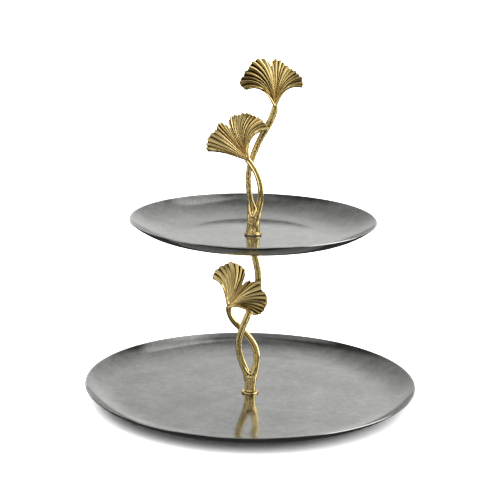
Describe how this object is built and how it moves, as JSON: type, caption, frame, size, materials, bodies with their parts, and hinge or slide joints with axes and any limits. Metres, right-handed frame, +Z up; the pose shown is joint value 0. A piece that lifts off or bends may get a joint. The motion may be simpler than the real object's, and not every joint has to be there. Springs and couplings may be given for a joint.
{
  "type": "tiered cake stand",
  "caption": "Tiered serving stand: shallow round steel plates one above the other on a twisted twig stem of brass with ginkgo leaves; the top part unscrews.",
  "frame": {"origin": "on the surface that the stand rests on, under the centre of both plates", "axes": "+Z up the stem; +X to the right and +Y away, seen from the front, where the lower leaf hides the support twig"},
  "size_m": [0.305, 0.305, 0.316],
  "materials": {
    "plate_steel": "satin gunmetal grey, faintly mottled",
    "brass": "polished, with dark grooves",
    "zinc_steel": "bright zinc plate",
    "foot_rubber": "matt black",
    "soft_washer": "matt dark silicone"
  },
  "bodies": {
    "stand": {"lower_plate": "plate_steel", "foot_pads": "foot_rubber", "base_screw": "zinc_steel", "base_washer": "zinc_steel", "base_gasket": "soft_washer", "lower_collar": "brass", "lower_trunk": "brass", "support_twig": "brass", "lower_leaf_twig": "brass", "lower_leaf": "brass", "seat_boss": "brass", "seat_washer": "soft_washer", "joining_stud": "zinc_steel", "upper_plate": "plate_steel"},
    "handle_washer": {"handle_washer": "soft_washer"},
    "handle": {"upper_collar": "brass", "upper_trunk": "brass", "side_leaf_twig": "brass", "top_leaf_twig": "brass", "side_leaf": "brass", "top_leaf": "brass"}
  },
  "joints": [
    {"name": "handle_rise", "type": "slide", "parent": "stand", "child": "handle_washer", "axis": [0, 0, 1], "range_m": [0, 0.007]},
    {"name": "handle_turn", "type": "hinge", "parent": "handle_washer", "child": "handle", "pos_m": [0, 0, 0.162], "axis": [0, 0, 1], "range_deg": [0, 2520]}
  ],
  "couplings": [
    {"joint": "handle_rise", "follows": "handle_turn", "m_per_rad": 0.00015915}
  ]
}
